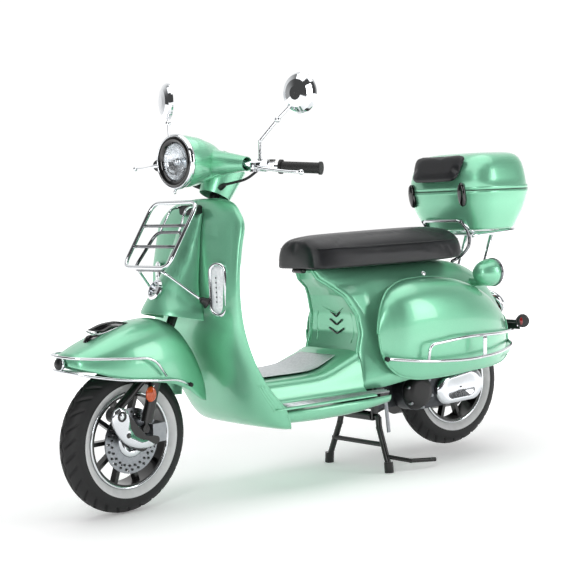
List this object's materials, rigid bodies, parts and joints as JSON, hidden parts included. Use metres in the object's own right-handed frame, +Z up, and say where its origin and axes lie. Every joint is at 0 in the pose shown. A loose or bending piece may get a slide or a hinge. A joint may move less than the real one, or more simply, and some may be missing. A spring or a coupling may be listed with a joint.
{
  "type": "moped scooter",
  "caption": "Retro step-through moped scooter in mint green with chrome rails, black bench seat, top box, front rack and centre stand.",
  "frame": {"origin": "on the ground under the middle of the overall box, on the plane the front wheel and the stand rest on", "axes": "+X forwards, +Y to the rider's left, +Z up"},
  "size_m": [1.8049, 0.759, 1.2631],
  "materials": {
    "green_paint": "glossy metallic mint green paint",
    "chrome_plate": "polished chrome plate",
    "black_metal": "satin black paint",
    "black_plastic": "moulded black plastic",
    "red_plastic": "clear red plastic",
    "amber_plastic": "amber lens in a painted pod",
    "black_rubber": "soft ribbed rubber",
    "tyre_rubber": "tread rubber",
    "cast_metal": "cast and polished alloy",
    "steel_plain": "plain steel",
    "black_vinyl": "grained vinyl over foam",
    "clear_glass": "clear lens"
  },
  "bodies": {
    "chassis": {"main_frame": "black_metal", "leg_shield": "green_paint", "inner_shield": "green_paint", "horn_cover": "green_paint", "horn_grille": "chrome_plate", "front_indicators": "chrome_plate", "rack_frame": "chrome_plate", "floor_board": "green_paint", "floor_trims": "chrome_plate", "belly_cover": "green_paint", "seat_front_panel": "green_paint", "tail_body": "green_paint", "left_cowl": "green_paint", "right_cowl": "green_paint", "rear_rails": "chrome_plate", "fuel_tank": "steel_plain", "battery": "black_plastic", "rear_indicators": "amber_plastic", "tail_lamp": "red_plastic", "plate_bracket": "black_metal", "luggage_rack": "chrome_plate", "top_box_base": "green_paint", "rear_shock": "black_metal", "stand_spring": "steel_plain"},
    "steering": {"headset_shell": "green_paint", "headlamp_ring": "chrome_plate", "headlamp_lens": "clear_glass", "speedometer": "chrome_plate", "handlebar": "chrome_plate", "left_grip": "black_rubber", "lever_perches": "chrome_plate", "brake_cables": "black_rubber", "fork_stem": "black_metal", "front_fender": "green_paint", "fender_rails": "chrome_plate", "fender_crest": "chrome_plate", "front_shock": "black_metal"},
    "throttle": {"throttle_grip": "black_rubber"},
    "left_brake": {"left_lever": "chrome_plate"},
    "right_brake": {"right_lever": "chrome_plate"},
    "horn": {"horn_button": "black_plastic"},
    "starter": {"starter_button": "red_plastic"},
    "indicator": {"indicator_switch": "black_plastic"},
    "mirror_l": {"left_mirror": "chrome_plate"},
    "mirror_r": {"right_mirror": "chrome_plate"},
    "shelf": {"rack_shelf": "chrome_plate"},
    "link": {"front_link": "cast_metal", "front_caliper": "chrome_plate"},
    "front_wheel": {"front_rim": "black_metal", "front_tyre": "tyre_rubber", "front_disc": "steel_plain"},
    "seat_body": {"seat": "black_vinyl"},
    "lid": {"top_box_lid": "green_paint", "backrest_pad": "black_vinyl"},
    "engine": {"engine_case": "cast_metal", "cvt_cover": "black_plastic", "muffler": "black_metal"},
    "rear_wheel": {"rear_rim": "black_metal", "rear_tyre": "tyre_rubber"},
    "stand": {"centre_stand": "black_metal"}
  },
  "joints": [
    {"name": "steer", "type": "hinge", "parent": "chassis", "child": "steering", "pos_m": [0.747, 0, 0], "axis": [-0.4384, 0, 0.8988], "range_deg": [-52, 38]},
    {"name": "throttle_twist", "type": "hinge", "parent": "steering", "child": "throttle", "pos_m": [0.30929, -0.22804, 1.00334], "axis": [-0.3145, -0.9491, 0.0157], "range_deg": [0, 70], "stiffness_Nm_per_rad": 0.6, "springref_deg": -11.46},
    {"name": "left_brake_pull", "type": "hinge", "parent": "steering", "child": "left_brake", "pos_m": [0.31676, 0.21476, 0.97867], "axis": [-0.0029, 0.0534, 0.9986], "range_deg": [0, 16], "stiffness_Nm_per_rad": 8, "springref_deg": -5.73},
    {"name": "right_brake_pull", "type": "hinge", "parent": "steering", "child": "right_brake", "pos_m": [0.36233, -0.19814, 1.00089], "axis": [0.0029, -0.0534, -0.9986], "range_deg": [0, 16], "stiffness_Nm_per_rad": 8, "springref_deg": -5.73},
    {"name": "horn_press", "type": "slide", "parent": "steering", "child": "horn", "axis": [0.994, 0.1095, -0.0029], "range_m": [0, 0.003], "stiffness_N_per_m": 600, "springref_m": -0.001},
    {"name": "starter_press", "type": "slide", "parent": "steering", "child": "starter", "axis": [0.994, 0.1095, -0.0029], "range_m": [0, 0.003], "stiffness_N_per_m": 600, "springref_m": -0.001},
    {"name": "indicator_slide", "type": "slide", "parent": "steering", "child": "indicator", "axis": [-0.1095, 0.9925, -0.0534], "range_m": [-0.004, 0.004]},
    {"name": "left_mirror_turn", "type": "hinge", "parent": "steering", "child": "mirror_l", "pos_m": [0.28731, 0.20868, 1.00093], "axis": [-0.0029, 0.0534, 0.9986], "range_deg": [-40, 40]},
    {"name": "right_mirror_turn", "type": "hinge", "parent": "steering", "child": "mirror_r", "pos_m": [0.332, -0.19628, 1.02273], "axis": [-0.0029, 0.0534, 0.9986], "range_deg": [-40, 40]},
    {"name": "rack_fold", "type": "hinge", "parent": "chassis", "child": "shelf", "pos_m": [0.566, 0, 0.702], "axis": [0, 1, 0], "range_deg": [0, 70]},
    {"name": "front_suspension", "type": "hinge", "parent": "steering", "child": "link", "pos_m": [0.74208, 0.08004, 0.29914], "axis": [-0.1095, 0.9925, -0.0534], "range_deg": [-4, 16], "stiffness_Nm_per_rad": 500, "springref_deg": -5.16, "deforming": ["front_shock"]},
    {"name": "front_wheel_spin", "type": "hinge", "parent": "link", "child": "front_wheel", "pos_m": [0.67182, 0.00327, 0.21491], "axis": [-0.1095, 0.9925, -0.0534], "continuous": true},
    {"name": "seat_open", "type": "hinge", "parent": "chassis", "child": "seat_body", "pos_m": [0, 0, 0.654], "axis": [0, 1, 0], "range_deg": [0, 75]},
    {"name": "lid_open", "type": "hinge", "parent": "chassis", "child": "lid", "pos_m": [-0.595, 0, 0.882], "axis": [0, 1, 0], "range_deg": [0, 75]},
    {"name": "rear_suspension", "type": "hinge", "parent": "chassis", "child": "engine", "pos_m": [-0.232, 0, 0.262], "axis": [0, 1, 0], "range_deg": [0, 8], "deforming": ["rear_shock"]},
    {"name": "rear_wheel_spin", "type": "hinge", "parent": "engine", "child": "rear_wheel", "pos_m": [-0.618, 0, 0.238], "axis": [0, 1, 0], "continuous": true},
    {"name": "stand_fold", "type": "hinge", "parent": "chassis", "child": "stand", "pos_m": [-0.225, 0, 0.172], "axis": [0, 1, 0], "range_deg": [0, 50], "deforming": ["stand_spring"]}
  ]
}
